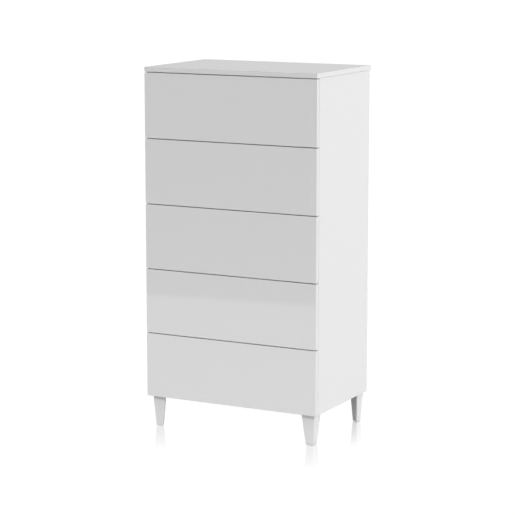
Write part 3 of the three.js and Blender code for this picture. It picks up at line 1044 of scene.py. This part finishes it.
class CHEST_OT_studio(bpy.types.Operator):
    """Set up the floor, the soft light and the camera"""

    bl_idname = "chest.studio"
    bl_label = "Studio"

    def execute(self, context):
        studio = context.scene.chest_studio
        self.add_camera(context, studio)
        self.add_floor(studio)
        self.set_dome(context, studio)
        context.scene.view_settings.view_transform = "Standard"
        context.scene.view_settings.look = "None"
        return {"FINISHED"}

    def add_camera(self, context, studio):
        data = bpy.data.cameras.new("camera")
        data.lens = studio.camera_lens
        data.sensor_width = 36.0
        data.clip_end = 60.0
        camera = bpy.data.objects.new("camera", data)
        camera.location = studio.camera_position
        camera.rotation_euler = (math.pi / 2 - studio.camera_pitch, 0.0, studio.camera_azimuth)
        context.scene.collection.objects.link(camera)
        context.scene.camera = camera

    def add_floor(self, studio):
        """A pale sheet that ends in front of the chest, a little askew; the fronts mirror its edge."""
        reach = 16.0
        edge_middle = -2.317
        edge_slope = -0.122
        corners = [
            (-reach, edge_middle - edge_slope * reach), (reach, edge_middle + edge_slope * reach),
            (reach, reach), (-reach, reach),
        ]
        builder = bmesh.new()
        builder.faces.new([builder.verts.new((x, y, 0)) for x, y in corners])
        floor = mesh_object("floor", builder, self.floor_material(studio))

    def floor_material(self, studio):
        """White to the eye, dimmer as a light; seen from below it isn't there."""
        material = bpy.data.materials.new("studio_floor")
        tree = empty_tree(material)
        path = add_node(tree, "ShaderNodeLightPath").outputs
        eye = times(tree, path["Is Camera Ray"], studio.floor_glow)
        mirror = times(tree, path["Is Glossy Ray"], studio.mirrored_floor_glow)
        # Painted shadow: the mirrored glow is taken away under the chest and fades out behind it and on its
        # left.
        mirror = times(tree, mirror, self.outside_painted_floor_shadow(tree))
        glow = plus(tree, 0.05, plus(tree, eye, mirror))
        emission = add_node(tree, "ShaderNodeEmission", {"Color": WHITE, "Strength": glow})
        tint = mix_colour(tree, path["Is Camera Ray"], (0.35, 0.35, 0.35, 1.0), (0.08, 0.08, 0.08, 1.0))
        diffuse = add_node(tree, "ShaderNodeBsdfDiffuse", {"Color": tint})
        body = add_node(tree, "ShaderNodeAddShader", {0: emission.outputs[0], 1: diffuse.outputs[0]})
        facing_away = add_node(tree, "ShaderNodeLayerWeight", {"Blend": 0.5}).outputs["Facing"]
        gloss = ramp(tree, facing_away, 0.62, 0.78, 0.0, 0.62)
        share = times(tree, gloss, self.polish(tree, studio))
        glossy = add_node(tree, "ShaderNodeBsdfGlossy", {"Color": WHITE, "Roughness": 0.05})
        mixed = mix_shaders(tree, share, body, glossy)
        below = surface(tree, "Backfacing")
        clear = add_node(tree, "ShaderNodeBsdfTransparent")
        both = mix_shaders(tree, below, mixed, clear)
        add_node(tree, "ShaderNodeOutputMaterial", {"Surface": both.outputs[0]})
        return material

    def outside_painted_floor_shadow(self, tree):
        """0 on the floor under the chest, 1 elsewhere: a painted shadow of the chest in the floor's
        mirrored glow, which fades slowly behind and on the left.
        """
        place = surface(tree, "Position")
        shade_low = (-0.30, -0.175, 0.0)
        shade_high = (0.28, 0.30, 0.0)
        slow = 0.03
        fade_length = 0.02
        before = vector_math(tree, "SUBTRACT", shade_low, place)
        before = vector_math(tree, "MULTIPLY", before, (slow, 1.0, 1.0))
        beyond = vector_math(tree, "SUBTRACT", place, shade_high)
        beyond = vector_math(tree, "MULTIPLY", beyond, (1.0, slow, 1.0))
        outside = vector_math(tree, "MAXIMUM", before, beyond)
        outside = vector_math(tree, "MAXIMUM", outside, (0.0, 0.0, 0.0))
        return ramp(tree, vector_math(tree, "LENGTH", outside), 0.0, fade_length)

    def polish(self, tree, studio):
        """Three narrow polished lanes on the floor, which mirror the legs and fade out."""
        place = surface(tree, "Position")
        polish = 0.0
        fade_length = 0.42
        lanes = (
            ("front_left", 12 * MM, 0.020),
            ("front_right", 14.5 * MM, 0.026),
            ("rear_right", 12 * MM, 0.020),
        )
        for foot_name, half_width, spread in lanes:
            low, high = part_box(f"foot_glide_{foot_name}")
            foot = (low + high) / 2
            lane = Vector(studio.camera_position) - foot
            lane.z = 0.0
            lane.normalize()
            side = Vector((lane.y, -lane.x, 0.0))
            offset = vector_math(tree, "SUBTRACT", place, (foot.x, foot.y, 0.0))
            along = math_node(tree, "ABSOLUTE", vector_math(tree, "DOT_PRODUCT", offset, lane))
            across = math_node(tree, "ABSOLUTE", vector_math(tree, "DOT_PRODUCT", offset, side))
            across = math_node(tree, "SUBTRACT", across, times(tree, along, spread))
            fade = ramp(tree, along, 0.0, fade_length, 1.0, 0.0)
            edge = ramp(tree, across, half_width, half_width + 3 * MM, 1.0, 0.0)
            polish = math_node(tree, "MAXIMUM", times(tree, fade, edge), polish)
        return polish

    def set_dome(self, context, studio):
        """White to the eye; as light it is brighter on the right and dark low in front."""
        world = bpy.data.worlds.new("studio_dome")
        context.scene.world = world
        tree = empty_tree(world)
        direction = add_node(tree, "ShaderNodeTexCoord").outputs["Generated"]
        split = add_node(tree, "ShaderNodeSeparateXYZ", {0: direction}).outputs
        slant = vector_math(tree, "DOT_PRODUCT", direction, studio.dome_slant)
        dome = plus(tree, studio.dome_strength, slant)
        above_band = ramp(tree, split["Z"], 0.28, 0.45, 1.06, 0.0)
        band = times(tree, ramp(tree, split["Z"], 0.13, 0.17), above_band)
        dome = math_node(tree, "MAXIMUM", dome, band)
        behind = ramp(tree, split["Y"], -0.6, -0.1)
        above = ramp(tree, split["Z"], -0.02, 0.06)
        lit = math_node(tree, "MAXIMUM", behind, above)
        level = times(tree, dome, lit)
        light = add_node(tree, "ShaderNodeBackground", {"Color": WHITE, "Strength": level})
        seen = add_node(tree, "ShaderNodeBackground", {"Color": WHITE, "Strength": 1.1})
        is_camera = add_node(tree, "ShaderNodeLightPath").outputs["Is Camera Ray"]
        mixed = mix_shaders(tree, is_camera, light, seen)
        add_node(tree, "ShaderNodeOutputWorld", {"Surface": mixed.outputs[0]})


# ---- Panel and registration ----


STEPS = (
    CHEST_OT_studio,
    CHEST_OT_effects,
    CHEST_OT_gloss_boards,
    CHEST_OT_hidden_boards,
    CHEST_OT_drawer_boxes,
    CHEST_OT_legs,
    CHEST_OT_slide_members,
    CHEST_OT_ball_cages,
    CHEST_OT_slide_fittings,
    CHEST_OT_push_latches,
    CHEST_OT_leg_screws,
    CHEST_OT_cam_locks,
    CHEST_OT_back_nails,
)


class CHEST_PT_panel(bpy.types.Panel):
    """Lists the steps and the settings of the chest"""

    bl_idname = "CHEST_PT_panel"
    bl_label = "Chest of Drawers"
    bl_space_type = "VIEW_3D"
    bl_region_type = "UI"
    bl_category = "Chest"

    def draw(self, context):
        layout = self.layout
        for step in STEPS:
            layout.operator(step.bl_idname)
        for settings_name in SETTINGS:
            settings = getattr(context.scene, settings_name)
            box = layout.box()
            for name in settings.__annotations__:
                box.prop(settings, name)


SETTINGS = {
    "chest_finishes": ChestFinishes,
    "chest_fittings": ChestFittings,
    "chest_studio": ChestStudio,
}
CLASSES = (*SETTINGS.values(), *STEPS, CHEST_PT_panel)


def register():
    for item in CLASSES:
        bpy.utils.register_class(item)
    for name, kind in SETTINGS.items():
        setattr(bpy.types.Scene, name, PointerProperty(type=kind))


def unregister():
    for name in SETTINGS:
        delattr(bpy.types.Scene, name)
    for item in reversed(CLASSES):
        bpy.utils.unregister_class(item)


def main():
    register()
    for step in STEPS:
        family, action = step.bl_idname.split(".")
        getattr(getattr(bpy.ops, family), action)()


if __name__ == "__main__":
    main()
